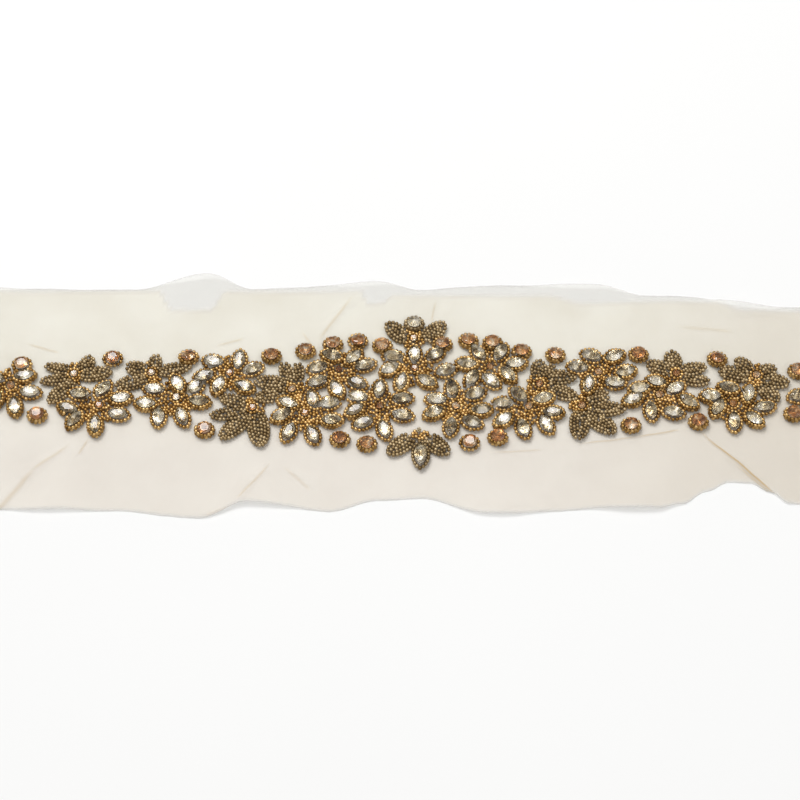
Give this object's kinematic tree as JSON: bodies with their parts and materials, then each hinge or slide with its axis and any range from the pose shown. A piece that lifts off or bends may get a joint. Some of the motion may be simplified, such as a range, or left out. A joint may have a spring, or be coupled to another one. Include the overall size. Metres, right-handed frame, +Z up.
{
  "type": "beaded belt",
  "caption": "Beaded belt: flowers, leaf sprays and a pointed centre medallion of crystals and metal-coloured seed beads, sewn to a flat strip of sheer organza with raw edges.",
  "frame": {"origin": "centre of the bounding box at its bottom, on the surface the strip lies on", "axes": "+X along the belt to the picture's right, +Y across the strip to the picture's upper edge, +Z up out of the beaded face"},
  "size_m": [0.7112, 0.155, 0.0068],
  "materials": {
    "organza": "sheer ivory organza, soft sheen",
    "gold_beads": "antique gold seed beads, glossy",
    "pewter_beads": "pewter and bronze seed beads, glossy",
    "crystal": "clear faceted glass with a silvered back",
    "champagne_crystal": "champagne faceted glass with a foiled back"
  },
  "bodies": {
    "root": {"crest_far": "pewter_beads", "crest_near": "pewter_beads", "flower_00": "gold_beads", "flower_01": "gold_beads", "flower_02": "gold_beads", "flower_03": "gold_beads", "flower_04": "gold_beads", "flower_05": "gold_beads", "flower_06": "gold_beads", "flower_07": "gold_beads", "flower_08": "gold_beads", "flower_09": "gold_beads", "flower_10": "gold_beads", "flower_11": "gold_beads", "flower_12": "gold_beads", "flower_13": "gold_beads", "flower_14": "gold_beads", "flower_15": "gold_beads", "flower_16": "gold_beads", "leaf_spray_01": "pewter_beads", "leaf_spray_02": "pewter_beads", "leaf_spray_03": "pewter_beads", "leaf_spray_04": "pewter_beads", "leaf_spray_05": "pewter_beads", "leaf_spray_06": "pewter_beads", "leaf_spray_07": "pewter_beads", "leaf_spray_08": "pewter_beads", "leaf_spray_09": "pewter_beads", "leaf_spray_10": "pewter_beads", "leaf_spray_11": "pewter_beads", "organza_strip": "organza", "ring_stone_01": "gold_beads", "ring_stone_02": "gold_beads", "ring_stone_03": "gold_beads", "ring_stone_04": "gold_beads", "ring_stone_05": "gold_beads", "ring_stone_06": "gold_beads", "ring_stone_07": "gold_beads", "ring_stone_08": "gold_beads", "ring_stone_09": "gold_beads", "ring_stone_10": "gold_beads", "ring_stone_11": "gold_beads", "ring_stone_12": "gold_beads", "ring_stone_13": "gold_beads", "ring_stone_14": "gold_beads", "ring_stone_15": "gold_beads", "ring_stone_16": "gold_beads", "ring_stone_17": "gold_beads"}
  },
  "joints": []
}
